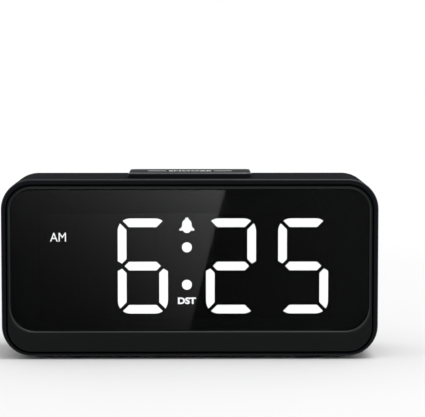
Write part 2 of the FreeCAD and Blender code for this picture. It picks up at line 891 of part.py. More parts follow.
def make_rear_cover():
    """Tray-shaped back with a tongue that plugs into the sleeve, posts, and holes for all that it carries."""
    tray = panel(case_area, joint_y + cover_seam, back_y, case_corner_radius)
    tray = tray.makeFillet(back_edge_fillet, edges_at_depth(tray, back_y))
    tongue_area = grow(case_area, -wall - tongue_clearance)
    tongue_radius = inner_corner_radius - tongue_clearance
    tongue = panel(tongue_area, tongue_front_y, cover_inner_y, tongue_radius)
    hollow_area = grow(tongue_area, -tongue_wall)
    hollow = panel(hollow_area, tongue_front_y, cover_inner_y, tongue_radius - tongue_wall)
    shell = fused([tray, tongue]).cut(hollow)
    skirt_y = cover_inner_y - door_skirt_depth
    solids = [
        plate(grow(opening_area, door_skirt_wall), skirt_y, door_seat_y),
        plate(grow(door_area, door_skirt_wall), door_seat_y - door_shelf, door_seat_y),
        rod(door_screw_x, cell_z, board_post_radius, door_boss_y, door_seat_y),
    ]
    for x, z in corner_posts:
        solids.append(rod(x, z, post_radius, post_back_y + screw_clearance, cover_inner_y))
    for x, z in board_posts:
        solids.append(rod(x, z, board_post_radius, board_back_y, cover_inner_y))
    shell = fused([shell] + solids)
    shank_hole = screw_shank_radius + screw_clearance
    tools = [
        panel(opening_area, skirt_y, back_y, door_opening_radius),
        panel(grow(door_area, door_clearance), door_seat_y, back_y + wall, door_radius + door_clearance),
        rod(door_screw_x, cell_z, shank_hole, door_boss_y, back_y),
        rod(inlet_x, inlet_z, inlet_nose_radius + inlet_clearance, cover_inner_y - wall, back_y + wall),
    ]
    for x, z in corner_posts:
        tools.append(rod(x, z, shank_hole, post_back_y, back_y))
        tools.append(rod(x, z, cover_screw_head_radius + screw_clearance, cover_screw_head_y, back_y + wall))
    for x, z in board_posts:
        tools.append(rod(x, z, shank_hole, board_back_y, board_y + board_screw_length + screw_clearance))
    for x in button_places.values():
        tools.append(rod(x, button_z, button_radius + button_clearance, cover_inner_y - wall, back_y + wall))
    slot_width = slider_width + slider_travel + 2 * slider_clearance
    slot_area = centred(slider_x, slider_z, slot_width, slider_height + 2 * slider_clearance)
    tools.append(plate(slot_area, cover_inner_y - wall, back_y + wall))
    for x, z in sound_hole_places():
        tools.append(rod(x, z, sound_hole_radius, cover_inner_y - wall, back_y + wall))
    return cut(shell, tools)


def make_cover_screws():
    """Screws in the four corners of the back cover."""
    screws = []
    tip_y = cover_screw_head_y - cover_screw_length
    for x, z in corner_posts:
        screws.append(screw(x, z, cover_screw_head_y, tip_y, cover_screw_head_radius))
    return Part.Compound(screws)


def make_back_button(x):
    """Round cap with a flange behind the cover and a stem that rests on its switch's plunger."""
    flange_y = cover_inner_y - button_flange_gap
    cap = rod(x, button_z, button_radius, flange_y - button_flange_thickness, back_y + button_proud)
    cap = cap.makeChamfer(button_edge_chamfer, edges_at_depth(cap, back_y + button_proud))
    flange = rod(x, button_z, button_flange_radius, flange_y - button_flange_thickness, flange_y)
    stem_y = board_back_y + tact_switch_height + tact_plunger_proud
    stem = rod(x, button_z, button_stem_radius, stem_y, flange_y)
    return fused([cap, flange, stem])


slider_rest_x = slider_x + slider_travel / 2
slide_switch_face_y = board_back_y + slide_switch_depth


def make_alarm_slider():
    """Alarm on and off knob: a ribbed cap, a flange behind the slot and a stem into its switch."""
    flange_y = cover_inner_y - slider_flange_gap
    cap_area = centred(slider_rest_x, slider_z, slider_width, slider_height)
    cap = plate(cap_area, flange_y, back_y + slider_proud)
    grooves = []
    for index in range(slider_rib_count):
        x = slider_rest_x + (index - (slider_rib_count - 1) / 2) * slider_width / slider_rib_count
        area = centred(x, slider_z, slider_width / slider_rib_count / 2, slider_height)
        grooves.append(plate(area, back_y + slider_proud - slider_rib_depth, back_y + slider_proud))
    flange_area = grow(cap_area, slider_flange_reach)
    flange = plate(flange_area, flange_y - slider_flange_thickness, flange_y)
    stem_area = centred(slider_rest_x, slider_z, slider_stem_width, slider_stem_height)
    stem = plate(stem_area, slide_switch_face_y - slider_stem_sunk, flange_y)
    return cut(fused([cap, flange, stem]), grooves)


def make_slide_switch():
    """Body of the alarm slide switch, with a slot that the knob's stem runs in."""
    body = plate(centred(slider_x, slider_z, slide_switch_width, slide_switch_height),
                 board_back_y, slide_switch_face_y)
    slot_width = slider_stem_width + slider_travel + 2 * slider_clearance
    slot_area = centred(slider_x, slider_z, slot_width, slider_stem_height + 2 * slider_clearance)
    slot_y = slide_switch_face_y - slider_stem_sunk - slider_clearance
    return body.cut(plate(slot_area, slot_y, slide_switch_face_y))


inlet_mouth_y = back_y - inlet_nose_sunk
inlet_floor_y = board_back_y + inlet_floor


def make_power_inlet():
    """Barrel socket on the main board, whose nose fills the hole in the back cover."""
    shoulder_y = cover_inner_y - inlet_shoulder_gap
    body = plate(centred(inlet_x, inlet_z, inlet_size, inlet_size), board_back_y, shoulder_y)
    nose = rod(inlet_x, inlet_z, inlet_nose_radius, shoulder_y, inlet_mouth_y)
    bore = rod(inlet_x, inlet_z, inlet_bore_radius, inlet_floor_y, inlet_mouth_y)
    return fused([body, nose]).cut(bore)


def make_inlet_pin():
    """Centre pin of the power inlet."""
    tip_y = inlet_mouth_y - inlet_pin_sunk
    pin = rod(inlet_x, inlet_z, inlet_pin_radius, inlet_floor_y, tip_y)
    return pin.makeChamfer(inlet_pin_chamfer, edges_at_depth(pin, tip_y))


def make_buzzer():
    """Sounder can on the main board, with its port towards the sound holes."""
    face_y = cover_inner_y - buzzer_gap
    can = rod(buzzer_x, buzzer_z, buzzer_radius, board_back_y, face_y)
    return can.cut(rod(buzzer_x, buzzer_z, buzzer_port_radius, face_y - buzzer_port_depth, face_y))


# Back-up cell

cell_back_y = board_back_y + holder_floor + contact_thickness
cell_face_y = cell_back_y + cell_thickness
holder_inner_radius = cell_radius + cell_clearance
holder_outer_radius = holder_inner_radius + holder_wall


def make_cell_holder():
    """Round cup on the main board, notched at one side for the upper contact."""
    cup = rod(cell_x, cell_z, holder_outer_radius, board_back_y, board_back_y + holder_height)
    bowl = rod(cell_x, cell_z, holder_inner_radius, board_back_y + holder_floor, board_back_y + holder_height)
    notch = block(cell_x, cell_x + holder_outer_radius, board_back_y, board_back_y + holder_height,
                  cell_z - holder_notch_width / 2, cell_z + holder_notch_width / 2)
    return cut(cup, [bowl, notch.cut(rod(cell_x, cell_z, holder_inner_radius, board_back_y, cell_face_y))])


def make_coin_cell():
    """Back-up coin cell, with the step round its negative side."""
    can = rod(cell_x, cell_z, cell_radius, cell_back_y + cell_step_depth, cell_face_y)
    base = rod(cell_x, cell_z, cell_radius - cell_step_width, cell_back_y, cell_back_y + cell_step_depth)
    return fused([can, base])


def make_cell_contacts():
    """Leaf under the cell, and a strip that climbs the notch and laps over the cell's rim."""
    half = contact_width / 2
    leaf = block(cell_x - contact_width, cell_x + contact_width, board_back_y + holder_floor, cell_back_y,
                 cell_z - half, cell_z + half)
    strip_x = cell_x + holder_inner_radius
    riser = block(strip_x, strip_x + contact_thickness, board_back_y, cell_face_y + contact_thickness,
                  cell_z - half, cell_z + half)
    lap = block(strip_x - contact_overlap, strip_x + contact_thickness, cell_face_y,
                cell_face_y + contact_thickness, cell_z - half, cell_z + half)
    return Part.Compound([leaf, fused([riser, lap])])


def make_battery_door():
    """Door over the cell, with a locating rib and finger grips."""
    door = panel(door_area, door_seat_y, back_y, door_radius)
    rib_area = grow(opening_area, -door_clearance)
    rib_radius = door_opening_radius - door_clearance
    rib = panel(rib_area, door_seat_y - door_rib_depth, door_seat_y, rib_radius)
    rib = rib.cut(panel(grow(rib_area, -door_rib_wall), door_seat_y - door_rib_depth, door_seat_y,
                        rib_radius - door_rib_wall))
    tools = [
        rod(door_screw_x, cell_z, screw_shank_radius + screw_clearance, door_seat_y, back_y),
        rod(door_screw_x, cell_z, screw_head_radius + screw_clearance, door_screw_seat_y, back_y),
    ]
    for index in range(door_grip_count):
        x = door_area.left + door_radius + index * door_grip_spacing
        grip_area = centred(x, cell_z, door_grip_width, door_grip_height)
        tools.append(plate(grip_area, back_y - door_grip_depth, back_y))
    return cut(fused([door, rib]), tools)


def make_door_screw():
    """Captive screw of the battery door."""
    tip_y = door_screw_seat_y - door_screw_length
    return screw(door_screw_x, cell_z, door_screw_seat_y, tip_y, screw_head_radius)


nodes = {
    "housing": make_housing(),
    "rubber_feet": make_feet(),
    "front_frame": make_front_frame(),
    "display_lens": make_display_lens(),
    "led_reflector": make_reflector(),
    "lit_segments": Part.Compound(segments(lit_segments, *pipe_span) + colon_dots(*pipe_span)),
    "unlit_segments": Part.Compound(segments(unlit_segments, *pipe_span)),
    "indicator_windows": Part.Compound(indicators(*pipe_span)),
    "segment_leds": make_leds(),
    "display_board": make_display_board(),
    "display_screws": make_display_screws(),
    "pin_header": make_pin_header(),
    "header_socket": make_header_socket(),
    "main_board": make_main_board(),
    "board_screws": make_board_screws(),
    "clock_chip": make_clock_chip(),
    "crystal": make_crystal(),
    "capacitor": make_capacitor(),
    "resistors": make_resistors(),
    "snooze_switch": make_snooze_switch(),
    "snooze_plunger": make_snooze_plunger(),
    "snooze_bar": make_snooze_bar(),
    "rear_cover": make_rear_cover(),
    "cover_screws": make_cover_screws(),
    "button_switches": make_button_switches(),
    "alarm_slider": make_alarm_slider(),
    "slide_switch": make_slide_switch(),
    "power_inlet": make_power_inlet(),
    "inlet_pin": make_inlet_pin(),
    "buzzer": make_buzzer(),
    "cell_holder": make_cell_holder(),
    "coin_cell": make_coin_cell(),
    "cell_contacts": make_cell_contacts(),
    "battery_door": make_battery_door(),
    "door_screw": make_door_screw(),
}
for name, x in button_places.items():
    nodes[name + "_button"] = make_back_button(x)
    nodes[name + "_plunger"] = make_button_plunger(x)

os.makedirs("parts", exist_ok=True)
for name, shape in nodes.items():
    shape.exportStep(os.path.join("parts", name + ".step"))
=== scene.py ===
"""Looks of a compact LED alarm clock: finishes, signs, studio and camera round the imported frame.

Metres, in the part's own frame: X runs across the face, Y from front to back and Z up, with the origin
on the surface that the feet stand on.
"""

import logging
import math
from collections.abc import Sequence
from dataclasses import dataclass, field
from enum import Enum

import bmesh
import bpy
from mathutils import Matrix, Vector


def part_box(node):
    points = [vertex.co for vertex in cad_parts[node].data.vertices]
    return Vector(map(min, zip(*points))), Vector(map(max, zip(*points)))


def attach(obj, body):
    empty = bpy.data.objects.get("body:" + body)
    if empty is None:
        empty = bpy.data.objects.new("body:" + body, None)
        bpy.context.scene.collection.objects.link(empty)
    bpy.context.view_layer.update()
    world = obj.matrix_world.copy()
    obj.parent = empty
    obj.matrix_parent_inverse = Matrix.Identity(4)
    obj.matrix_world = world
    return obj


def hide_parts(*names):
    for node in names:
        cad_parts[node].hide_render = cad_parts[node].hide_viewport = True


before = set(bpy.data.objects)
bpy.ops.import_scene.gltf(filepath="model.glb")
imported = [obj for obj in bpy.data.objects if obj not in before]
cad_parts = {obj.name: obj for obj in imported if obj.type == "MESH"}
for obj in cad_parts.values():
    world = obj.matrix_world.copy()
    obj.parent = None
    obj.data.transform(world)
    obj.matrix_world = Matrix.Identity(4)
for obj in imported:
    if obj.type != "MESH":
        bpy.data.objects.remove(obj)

log = logging.getLogger("alarm_clock")

Colour = tuple[float, float, float]
Factors = tuple[float, float, float]
Pair = tuple[float, float]
Source = float | Vector | bpy.types.NodeSocket

MM = 0.001
WELD = 0.01 * MM
CURVE_STEPS = 6
NOISE_LOW = 0.3
NOISE_HIGH = 0.7
EVEN: Factors = (1.0, 1.0, 1.0)
PATCHES_PER_CLOUD = 4
GRAINS_PER_DENT = 3
ANY_DEPTH = 1.0
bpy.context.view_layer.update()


class Face(Enum):
    """Side of the clock that a sign lies on, with the turn from the XY plane to that side."""

    FRONT = (math.pi / 2, 0.0)
    BACK = (math.pi / 2, math.pi)
    TOP = (0.0, 0.0)

    def turn(self) -> Matrix:
        """Returns the rotation that stands a flat sign on this side, readable from outside."""
        tilt, heading = self.value
        return Matrix.Rotation(heading, 4, "Z") @ Matrix.Rotation(tilt, 4, "X")


class Axis(Enum):
    """Axis that a band of a finish is measured along, by the name of its socket."""

    DEPTH = "Y"
    UP = "Z"


class Rounding(Enum):
    """What a bevel rounds, by Blender's names."""

    EDGES = "EDGES"
    CORNERS = "VERTICES"


# Node work


class Board:
    """A new material and the nodes that are laid out in it."""

    def __init__(self, name: str) -> None:
        """Starts a material with one Principled shader.

        Args:
            name: The material's name.
        """
        self.material = bpy.data.materials.new(name)
        self.material.use_nodes = True
        self.tree = self.material.node_tree
        self.shader = self.tree.nodes["Principled BSDF"]
        self.output = self.tree.nodes["Material Output"]

    def add(self, kind: str, **settings: object) -> bpy.types.Node:
        """Adds a node.

        Args:
            kind: The node's Blender type.
            settings: Its properties.

        Returns:
            The new node.
        """
        node = self.tree.nodes.new(kind)
        for name, value in settings.items():
            setattr(node, name, value)
        return node

    def link(self, source: bpy.types.NodeSocket, target: bpy.types.NodeSocket) -> None:
        """Joins two sockets."""
        self.tree.links.new(source, target)

    def place(self, stretch: Factors = EVEN) -> bpy.types.NodeSocket:
        """Makes the piece's own coordinates.

        Args:
            stretch: Factors for X, Y and Z, for a pattern that is drawn out.

        Returns:
            The vector output.
        """
        coordinates = self.add("ShaderNodeTexCoord")
        if stretch == EVEN:
            return coordinates.outputs["Object"]
        mapping = self.add("ShaderNodeMapping")
        mapping.inputs["Scale"].default_value = stretch
        self.link(coordinates.outputs["Object"], mapping.inputs["Vector"])
        return mapping.outputs["Vector"]

    def noise(self, size: float, detail: float = 2.0, stretch: Factors = EVEN) -> bpy.types.NodeSocket:
        """Makes a cloudy pattern.

        Args:
            size: Width of one cloud.
            detail: Number of finer layers on it.
            stretch: Factors for the coordinates.

        Returns:
            The factor output, about 0.5 on average.
        """
        texture = self.add("ShaderNodeTexNoise")
        texture.inputs["Scale"].default_value = 1.0 / size
        texture.inputs["Detail"].default_value = detail
        self.link(self.place(stretch), texture.inputs["Vector"])
        return texture.outputs["Fac"]

    def cells(self, size: float) -> bpy.types.NodeSocket:
        """Makes a pattern of small rounded cells.

        Args:
            size: Width of one cell.

        Returns:
            The distance from the middle of a cell.
        """
        texture = self.add("ShaderNodeTexVoronoi", feature="SMOOTH_F1")
        texture.inputs["Scale"].default_value = 1.0 / size
        self.link(self.place(), texture.inputs["Vector"])
        return texture.outputs["Distance"]

    def spread(self, source: bpy.types.NodeSocket, low: float, high: float) -> bpy.types.NodeSocket:
        """Maps the middle of a noise to a range.

        Args:
            source: A factor about 0.5 on average.
            low: The result where the factor is low.
            high: The result where it is high.

        Returns:
            The mapped value.
        """
        node = self.add("ShaderNodeMapRange")
        node.inputs["From Min"].default_value = NOISE_LOW
        node.inputs["From Max"].default_value = NOISE_HIGH
        node.inputs["To Min"].default_value = low
        node.inputs["To Max"].default_value = high
        self.link(source, node.inputs["Value"])
        return node.outputs["Result"]

    def work(self, kind: str, operation: str, values: Sequence[Source]) -> bpy.types.Node:
        """Adds a node that works something out.

        Args:
            kind: The node's Blender type.
            operation: Blender's name of the operation.
            values: Its inputs.

        Returns:
            The new node.
        """
        node = self.add(kind, operation=operation)
        for socket, value in zip(node.inputs, values):
            if isinstance(value, bpy.types.NodeSocket):
                self.link(value, socket)
            else:
                socket.default_value = value
        return node

    def math(self, operation: str, *values: Source) -> bpy.types.NodeSocket:
        """Works on numbers and returns the result."""
        return self.work("ShaderNodeMath", operation, values).outputs["Value"]

    def vector(self, operation: str, *values: Source) -> bpy.types.NodeSocket:
        """Works on vectors and returns the vector, or the value for a length."""
        node = self.work("ShaderNodeVectorMath", operation, values)
        return node.outputs["Value" if operation == "LENGTH" else "Vector"]

    def tint(self, source: bpy.types.NodeSocket, low: Colour, high: Colour) -> bpy.types.NodeSocket:
        """Blends two colours by a factor.

        Args:
            source: The factor.
            low: The colour at 0.
            high: The colour at 1.

        Returns:
            The blended colour.
        """
        node = self.add("ShaderNodeMix", data_type="RGBA")
        self.link(source, node.inputs["Factor"])
        colours = [socket for socket in node.inputs if socket.type == "RGBA"]
        colours[0].default_value = (*low, 1.0)
        colours[1].default_value = (*high, 1.0)
        return next(socket for socket in node.outputs if socket.type == "RGBA")

    def bump(self, height: bpy.types.NodeSocket, depth: float) -> None:
        """Raises the surface by a pattern.

        Args:
            height: The pattern.
            depth: Height from its 0 to its 1.
        """
        node = self.add("ShaderNodeBump")
        node.inputs["Strength"].default_value = 1.0
        node.inputs["Distance"].default_value = depth
        self.link(height, node.inputs["Height"])
        self.link(node.outputs["Normal"], self.shader.inputs["Normal"])

    def ray(self, *kinds: str) -> bpy.types.NodeSocket:
        """Tells whether a ray is of any of these kinds.

        Args:
            kinds: Outputs of the Light Path node.

        Returns:
            1 where it is, 0 elsewhere.
        """
        path = self.add("ShaderNodeLightPath")
        total = path.outputs[kinds[0]]
        for kind in kinds[1:]:
            total = self.math("MAXIMUM", total, path.outputs[kind])
        return total


# Finishes

MADE: dict[str, bpy.types.Material] = {}


@dataclass(frozen=True)
class Finish:
    """A named finish of two close colours. All pieces that have it share one material.

    Attributes:
        name: The material's name.
        low: Its colour where its pattern is dark.
        high: Its colour where the pattern is light.
    """

    name: str
    low: Colour
    high: Colour

    def material(self) -> bpy.types.Material:
        """Gives the finish's material, which is made at its first use.

        Returns:
            The material.
        """
        if self.name not in MADE:
            board = Board(self.name)
            self.lay_out(board)
            MADE[self.name] = board.material
        return MADE[self.name]

    def lay_out(self, board: Board) -> None:
        """Lays the finish out in a new material."""
        raise NotImplementedError

    def paint(self, board: Board, pattern: bpy.types.NodeSocket, socket: str = "Base Color") -> None:
        """Lays the two colours on by a pattern."""
        board.link(board.tint(pattern, self.low, self.high), board.shader.inputs[socket])


@dataclass(frozen=True)
class Moulding(Finish):
    """Injection-moulded plastic or rubber with the fine grain of its tool.

    Attributes:
        roughness: Its middle roughness.
        uneven: How far the roughness goes either way.
        specular: The shader's specular level.
        grain: Width of one grain.
        depth: Height of the grain.
        cloud: Width of one cloud of colour.
    """

    roughness: float = 0.5
    uneven: float = 0.05
    specular: float = 0.5
    grain: float = 0.22 * MM
    depth: float = 0.006 * MM
    cloud: float = 7.0 * MM

    def lay_out(self, board: Board) -> None:
        """Lays out the clouds of colour, the patches of roughness and the grain.

        Args:
            board: The new material.
        """
        self.paint(board, board.noise(self.cloud))
        patches = board.noise(self.cloud / PATCHES_PER_CLOUD)
        self.shine(board, board.spread(patches, self.roughness - self.uneven, self.roughness + self.uneven))
        dents = board.noise(self.grain * GRAINS_PER_DENT)
        board.bump(board.math("ADD", board.cells(self.grain), dents), self.depth)

    def shine(self, board: Board, patches: bpy.types.NodeSocket) -> None:
        """Sets how the surface shines.

        Args:
            board: The material.
            patches: Roughness of the grained surface.
        """
        board.shader.inputs["Specular IOR Level"].default_value = self.specular
        board.link(patches, board.shader.inputs["Roughness"])


@dataclass(frozen=True)
class EdgedMoulding(Moulding):
    """Grained plastic whose rounded edge, a band along one axis, came smooth and bright from its tool.

    Attributes:
        edge_roughness: Roughness of the band's gloss.
        edge_coat: Weight of that gloss.
        edge_ior: Its index of refraction.
        axis: The axis across the band.
        start: Where the band starts along it.
        end: Where the band ends.
    """

    edge_roughness: float = 0.22
    edge_coat: float = 1.0
    edge_ior: float = 1.5
    axis: Axis = Axis.DEPTH
    start: float = 0.0
    end: float = 0.0

    def across(self, board: Board) -> bpy.types.NodeSocket:
        """Measures across the band.

        Args:
            board: The material.

        Returns:
            The distance along the axis.
        """
        split = board.add("ShaderNodeSeparateXYZ")
        board.link(board.place(), split.inputs["Vector"])
        return split.outputs[self.axis.value]

    def shine(self, board: Board, patches: bpy.types.NodeSocket) -> None:
        """Sets how the surface shines, with a gloss over it on the band alone.

        Args:
            board: The material.
            patches: Roughness of the grained surface.
        """
        super().shine(board, patches)
        inputs = board.shader.inputs
        inputs["Coat Roughness"].default_value = self.edge_roughness
        inputs["Coat IOR"].default_value = self.edge_ior
        band = board.math("COMPARE", self.across(board), (self.start + self.end) / 2, (self.end - self.start) / 2)
        board.link(board.math("MULTIPLY", band, self.edge_coat), inputs["Coat Weight"])


@dataclass(frozen=True)
class LippedMoulding(EdgedMoulding):
    """Grained plastic with a smooth bright lip round an upright opening with round corners.

    Attributes:
        opening: Lower and upper corner of the opening.
        corner: Radius of its corners.
    """

    opening: tuple[Vector, Vector] = (Vector(), Vector())
    corner: float = 0.0

    def across(self, board: Board) -> bpy.types.NodeSocket:
        """Measures outwards from the opening.

        Args:
            board: The material.

        Returns:
            The distance, which is below 0 in the opening.
        """
        low, high = self.opening
        inset = Vector((self.corner, -ANY_DEPTH, self.corner))
        away = board.vector("SUBTRACT", board.place(), (low + high) / 2)
        beyond = board.vector("SUBTRACT", board.vector("ABSOLUTE", away), (high - low) / 2 - inset)
        rest = board.vector("LENGTH", board.vector("MAXIMUM", beyond, Vector()))
        return board.math("SUBTRACT", rest, self.corner)


@dataclass(frozen=True)
class TintedAcrylic(Finish):
    """Polished dark sheet that the lit display shines through.

    Attributes:
        cover: How much of what lies behind it is held back.
        specular: The shader's specular level.
        roughness: Roughness of the clean polish.
        haze: Roughness of the handled patches.
        cloud: Width of one cloud of colour.
        patch: Width of one handled patch.
    """

    cover: float = 0.5
    specular: float = 0.5
    roughness: float = 0.02
    haze: float = 0.035
    cloud: float = 9.0 * MM
    patch: float = 14.0 * MM

    def lay_out(self, board: Board) -> None:
        """Lays out the clear sheet with its faint haze.

        Args:
            board: The new material.
        """
        shader = board.shader
        shader.inputs["Alpha"].default_value = self.cover
        shader.inputs["Specular IOR Level"].default_value = self.specular
        self.paint(board, board.noise(self.cloud))
        handled = board.noise(self.patch, detail=4.0)
        board.link(board.spread(handled, self.roughness, self.haze), shader.inputs["Roughness"])


@dataclass(frozen=True)
class Glow(Finish):
    """Diffusing resin with a lamp behind it, whose light has the finish's two colours.

    Attributes:
        strength: Strength of the light.
        dull: Colour of the resin where it is dullest.
        clean: Its colour where it is cleanest.
        roughness: Its roughness.
        pool: Width of one pool of light.
        cloud: Width of one cloud of colour.
    """

    strength: float
    dull: Colour = (0.7, 0.7, 0.7)
    clean: Colour = (0.8, 0.8, 0.8)
    roughness: float = 0.4
    pool: float = 2.5 * MM
    cloud: float = 1.2 * MM

    def lay_out(self, board: Board) -> None:
        """Lays out the light and the resin that it comes through.

        Args:
            board: The new material.
        """
        shader = board.shader
        shader.inputs["Roughness"].default_value = self.roughness
        shader.inputs["Emission Strength"].default_value = self.strength
        self.paint(board, board.noise(self.pool), "Emission Color")
        board.link(board.tint(board.noise(self.cloud), self.dull, self.clean), shader.inputs["Base Color"])


@dataclass(frozen=True)
class Metal(Finish):
    """Plated or drawn metal with fine marks along one direction.

    Attributes:
        roughness: Its middle roughness.
        stretch: Factors that draw the marks out.
        uneven: How far the roughness goes either way.
        mark: Width of one mark.
        depth: Height of the marks.
    """

    roughness: float = 0.3
    stretch: Factors = EVEN
    uneven: float = 0.03
    mark: float = 0.5 * MM
    depth: float = 0.0006 * MM

    def lay_out(self, board: Board) -> None:
        """Lays out the metal and its marks.

        Args:
            board: The new material.
        """
        board.shader.inputs["Metallic"].default_value = 1.0
        marks = board.noise(self.mark, detail=3.0, stretch=self.stretch)
        self.paint(board, marks)
        patches = board.spread(marks, self.roughness - self.uneven, self.roughness + self.uneven)
        board.link(patches, board.shader.inputs["Roughness"])
        board.bump(marks, self.depth)


@dataclass(frozen=True)
class Laminate(Finish):
    """Circuit board: lacquer over copper tracks, which are its lighter colour.

    Attributes:
        smooth: Lowest roughness of the lacquer.
        rough: Its highest roughness.
        tracks_per_metre: Scale of the tracks.
        gap: Share of a track that is gap.
        stagger: Shift of every second track, as a share of its length.
        squash: How much longer the odd tracks are.
        squash_rows: Number of tracks from one of these to the next.
        patch: Width of one patch of roughness.
        depth: Height of a track.
    """

    smooth: float = 0.28
    rough: float = 0.4
    tracks_per_metre: float = 180.0
    gap: float = 0.03
    stagger: float = 0.37
    squash: float = 1.8
    squash_rows: int = 3
    patch: float = 3.0 * MM
    depth: float = 0.02 * MM

    def lay_out(self, board: Board) -> None:
        """Lays out upright tracks of uneven length under the lacquer.

        Args:
            board: The new material.
        """
        bricks = board.add("ShaderNodeTexBrick")
        bricks.offset = self.stagger
        bricks.squash = self.squash
        bricks.squash_frequency = self.squash_rows
        turn = board.add("ShaderNodeMapping")
        turn.inputs["Rotation"].default_value = (math.pi / 2, 0.0, 0.0)
        board.link(board.place(), turn.inputs["Vector"])
        board.link(turn.outputs["Vector"], bricks.inputs["Vector"])
        bricks.inputs["Scale"].default_value = self.tracks_per_metre
        bricks.inputs["Mortar Size"].default_value = self.gap
        self.paint(board, bricks.outputs["Fac"])
        patches = board.spread(board.noise(self.patch), self.smooth, self.rough)
        board.link(patches, board.shader.inputs["Roughness"])
        board.bump(bricks.outputs["Fac"], self.depth)


HOUSING_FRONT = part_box("housing")[0].y
BAR_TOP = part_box("snooze_bar")[1].z

CASE_BLACK = EdgedMoulding(
    "case_black", (0.0078, 0.0085, 0.0104), (0.0099, 0.0106, 0.0128), 0.78, 0.05, 0.005,
    edge_coat=0.6, start=HOUSING_FRONT + 0.005 * MM, end=HOUSING_FRONT + 0.3 * MM,
)
FRAME_BLACK = LippedMoulding(
    "frame_black", (0.0092, 0.0106, 0.0104), (0.0108, 0.0124, 0.0122), 0.55, 0.04, 0.03,
    edge_roughness=0.25, edge_coat=0.7, end=0.6 * MM, opening=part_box("display_lens"), corner=5.2 * MM,
)
BAR_BLACK = EdgedMoulding(
    "bar_black", (0.0074, 0.008, 0.0102), (0.0094, 0.01, 0.0126), 0.62, 0.04, 0.03,
    edge_roughness=0.08, edge_ior=1.8, axis=Axis.UP, start=BAR_TOP - 0.3 * MM, end=BAR_TOP - 0.015 * MM,
)
PRINT_BLACK = Moulding("print_black", (0.001, 0.001, 0.001), (0.0015, 0.0015, 0.0015), 0.85, 0.05, 0.0)
REFLECTOR_BLACK = Moulding("reflector_black", (0.002, 0.002, 0.002), (0.003, 0.003, 0.003), 0.85, 0.05, 0.0)
RESIN_DARK = Moulding("resin_dark", (0.003, 0.003, 0.003), (0.004, 0.004, 0.004), 0.6, 0.05, 0.03)
BUTTON_BLACK = Moulding("button_black", (0.012, 0.012, 0.013), (0.016, 0.016, 0.017), 0.62, 0.06, 0.2)
SWITCH_GREY = Moulding("switch_grey", (0.03, 0.03, 0.033), (0.045, 0.045, 0.05), 0.45)
NYLON_BLACK = Moulding("nylon_black", (0.016, 0.016, 0.016), (0.024, 0.024, 0.024), 0.5)
EPOXY_BLACK = Moulding("epoxy_black", (0.014, 0.014, 0.015), (0.02, 0.02, 0.021), 0.6)
FOOT_RUBBER = Moulding("foot_rubber", (0.014, 0.014, 0.014), (0.022, 0.022, 0.022), 0.8, 0.08, 0.25)
SLEEVE_BLUE = Moulding("sleeve_blue", (0.012, 0.018, 0.06), (0.016, 0.024, 0.075), 0.25)
CERAMIC = Moulding("ceramic", (0.03, 0.03, 0.03), (0.045, 0.045, 0.045), 0.35)
LAMP_WHITE = Moulding("lamp_white", (0.7, 0.68, 0.6), (0.8, 0.78, 0.7), 0.35)
INK_WHITE = Moulding("ink_white", (0.8, 0.8, 0.8), (0.88, 0.88, 0.88), 0.6, 0.05, 0.3, 0.12 * MM, 0.002 * MM)
SCREEN = TintedAcrylic("tinted_acrylic", (0.0035, 0.0036, 0.004), (0.0042, 0.0043, 0.0046))
SEGMENT_GLOW = Glow("segment_glow", (0.97, 0.985, 1.0), (1.0, 1.0, 1.0), 3.9)
SIGN_GLOW = Glow("sign_glow", (0.94, 0.97, 1.0), (1.0, 1.0, 1.0), 3.8)
NICKEL = Metal("nickel", (0.5, 0.49, 0.46), (0.72, 0.7, 0.66), 0.2)
TIN = Metal("tin", (0.48, 0.48, 0.47), (0.64, 0.64, 0.62), 0.32, (1.0, 1.0, 0.2))
CELL_STEEL = Metal("cell_steel", (0.5, 0.5, 0.5), (0.68, 0.68, 0.68), 0.3, (0.15, 1.0, 1.0))
SCREW_BLACK = Metal("screw_black", (0.03, 0.03, 0.032), (0.07, 0.07, 0.075), 0.42)
BOARD_GREEN = Laminate("board_green", (0.006, 0.05, 0.018), (0.012, 0.1, 0.032))


def dress(finish: Finish, *nodes: str) -> None:
    """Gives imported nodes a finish.

    Args:
        finish: One of the finishes.
        nodes: Names of the nodes.
    """
    material = finish.material()
    for name in nodes:
        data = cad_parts[name].data
        data.materials.clear()
        data.materials.append(material)


def make_object(name: str, shape: bmesh.types.BMesh, material: bpy.types.Material) -> bpy.types.Object:
    """Makes an object of a finished shape.

    Args:
        name: Its name.
        shape: Its shape, already in place. It is freed.
        material: Its material.

    Returns:
        The new object.
    """
    mesh = bpy.data.meshes.new(name)
    shape.to_mesh(mesh)
    shape.free()
    mesh.materials.append(material)
    result = bpy.data.objects.new(name, mesh)
    bpy.context.scene.collection.objects.link(result)
    return result


def piece(name: str, shape: bmesh.types.BMesh, finish: Finish, body: str) -> bpy.types.Object:
    """Makes a piece of the clock and hangs it on its body.

    Args:
        name: The piece's name.
        shape: Its shape, already in place. It is freed.
        finish: Its finish.
        body: The body that it moves with.

    Returns:
        The new object.
    """
    bmesh.ops.recalc_face_normals(shape, faces=shape.faces)
    result = make_object(name, shape, finish.material())
    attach(result, body)
    log.info("made %s", name)
    return result


def add_box(shape: bmesh.types.BMesh, low: Sequence[float], high: Sequence[float]) -> None:
    """Adds a box between two corners to a shape.

    Args:
        shape: The shape that it joins.
        low: Its lower corner.
        high: Its upper corner.
    """
    size = Vector(high) - Vector(low)
    made = bmesh.ops.create_cube(shape, size=1.0)
    bmesh.ops.scale(shape, vec=size, verts=made["verts"])
    bmesh.ops.translate(shape, vec=Vector(low) + size / 2, verts=made["verts"])


